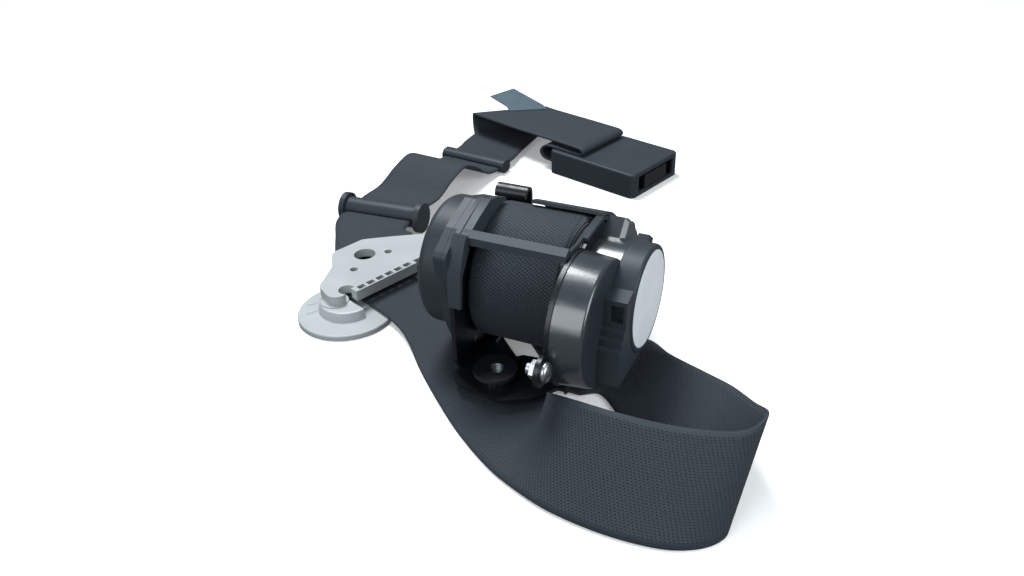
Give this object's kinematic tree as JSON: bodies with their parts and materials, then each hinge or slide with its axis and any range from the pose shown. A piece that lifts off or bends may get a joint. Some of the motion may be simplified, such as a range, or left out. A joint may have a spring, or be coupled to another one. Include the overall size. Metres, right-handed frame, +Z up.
{
  "type": "seat belt",
  "caption": "Car seat belt laid out: motorised retractor with wound webbing, pillar guide, tongue, keeper clip and end connector.",
  "frame": {"origin": "centre of the top face of the threaded anchor bush in the retractor's base", "axes": "+X along the spool towards the drive side, +Y to the rear of the retractor, +Z up"},
  "size_m": [0.2957, 0.4023, 0.0865],
  "materials": {
    "steel": "zinc-plated sheet and pins",
    "charcoal_plastic": "fine moulded grain",
    "drive_gloss": "smooth moulding with a soft shine",
    "cast_alloy": "die-cast",
    "tensioner_finish": "dark coated tube",
    "webbing": "tight twill of polyester",
    "label_cloth": "smooth woven ribbon, bare",
    "label_plate": "pale film, bare",
    "guide_grey": "satin moulded grey",
    "coated_blade": "black plastic coat on steel",
    "board": "solder mask"
  },
  "bodies": {
    "base": {"frame": "steel", "anchor_bush": "steel", "pawl_pin": "steel", "cover_screws": "steel", "drive_screws": "steel", "harness_screw": "steel", "harness_nut": "steel", "connector_frame": "steel", "anchor_pin": "steel", "latch_pin": "steel", "button_spring": "steel", "mainspring": "steel", "gas_generator": "steel", "plug_pins": "steel", "connector_screws": "steel", "motor_stator": "steel", "lock_base": "charcoal_plastic", "spool_bushes": "charcoal_plastic", "sensor_housing": "charcoal_plastic", "spring_cover": "charcoal_plastic", "spring_divider": "charcoal_plastic", "webbing_guide": "charcoal_plastic", "plug_housing": "charcoal_plastic", "control_cover": "charcoal_plastic", "connector_lower": "charcoal_plastic", "connector_upper": "charcoal_plastic", "drive_housing": "drive_gloss", "tensioner_tube": "tensioner_finish", "webbing_feed": "webbing", "webbing_loop": "webbing", "webbing_lap": "webbing", "webbing_tail": "webbing", "label_flap": "label_cloth", "cover_label": "label_plate", "circuit_board": "board"},
    "spool_body": {"spool": "cast_alloy", "torsion_bar": "steel", "webbing_pin": "steel", "webbing_roll": "webbing", "ratchet_wheel": "steel", "spool_gear": "charcoal_plastic", "spring_arbor": "charcoal_plastic"},
    "motor_body": {"motor_rotor": "steel", "motor_pinion": "charcoal_plastic"},
    "pawl_body": {"locking_pawl": "steel"},
    "lever_body": {"sensor_lever": "charcoal_plastic"},
    "ball_body": {"sensor_ball": "steel"},
    "guide_body_moving": {"guide_body": "guide_grey", "guide_insert": "steel"},
    "tongue_body": {"tongue_grip": "charcoal_plastic", "tongue_blade": "coated_blade"},
    "clip_body": {"keeper_clip": "charcoal_plastic"},
    "button_body": {"release_button": "charcoal_plastic"},
    "latch_body": {"connector_latch": "steel"}
  },
  "joints": [
    {"name": "spool_spin", "type": "hinge", "parent": "base", "child": "spool_body", "pos_m": [0.007, 0.04, 0.029], "axis": [1, 0, 0], "continuous": true},
    {"name": "motor_spin", "type": "hinge", "parent": "base", "child": "motor_body", "pos_m": [0.041, 0.012, 0.02949], "axis": [1, 0, 0], "continuous": true},
    {"name": "pawl_lock", "type": "hinge", "parent": "base", "child": "pawl_body", "pos_m": [-0.025, 0.016, 0.038], "axis": [1, 0, 0], "range_deg": [0, 6], "stiffness_Nm_per_rad": 0.002, "springref_deg": -5.73},
    {"name": "sensor_lift", "type": "hinge", "parent": "base", "child": "lever_body", "pos_m": [-0.027, 0.0195, 0.013], "axis": [1, 0, 0], "range_deg": [0, 8]},
    {"name": "ball_roll", "type": "slide", "parent": "base", "child": "ball_body", "axis": [0, 1, 0], "range_m": [-0.0008, 0.0008]},
    {"name": "guide_slide", "type": "slide", "parent": "base", "child": "guide_body_moving", "axis": [0.9397, -0.342, 0], "range_m": [-0.006, 0.006]},
    {"name": "tongue_slide", "type": "slide", "parent": "base", "child": "tongue_body", "axis": [0.0698, -0.9976, 0], "range_m": [-0.006, 0.006]},
    {"name": "clip_slide", "type": "slide", "parent": "base", "child": "clip_body", "axis": [0.1219, 0.9925, 0], "range_m": [-0.005, 0.005]},
    {"name": "button_press", "type": "slide", "parent": "base", "child": "button_body", "axis": [-0.9563, 0.2924, 0], "range_m": [0, 0.003], "stiffness_N_per_m": 1500, "springref_m": -0.002},
    {"name": "latch_lift", "type": "hinge", "parent": "base", "child": "latch_body", "pos_m": [-0.03782, 0.26017, -0.0075], "axis": [-0.2924, -0.9563, 0], "range_deg": [0, 6]}
  ],
  "couplings": [
    {"joint": "motor_spin", "follows": "spool_spin", "ratio": -3},
    {"joint": "latch_lift", "follows": "button_press", "rad_per_m": 34.9}
  ]
}
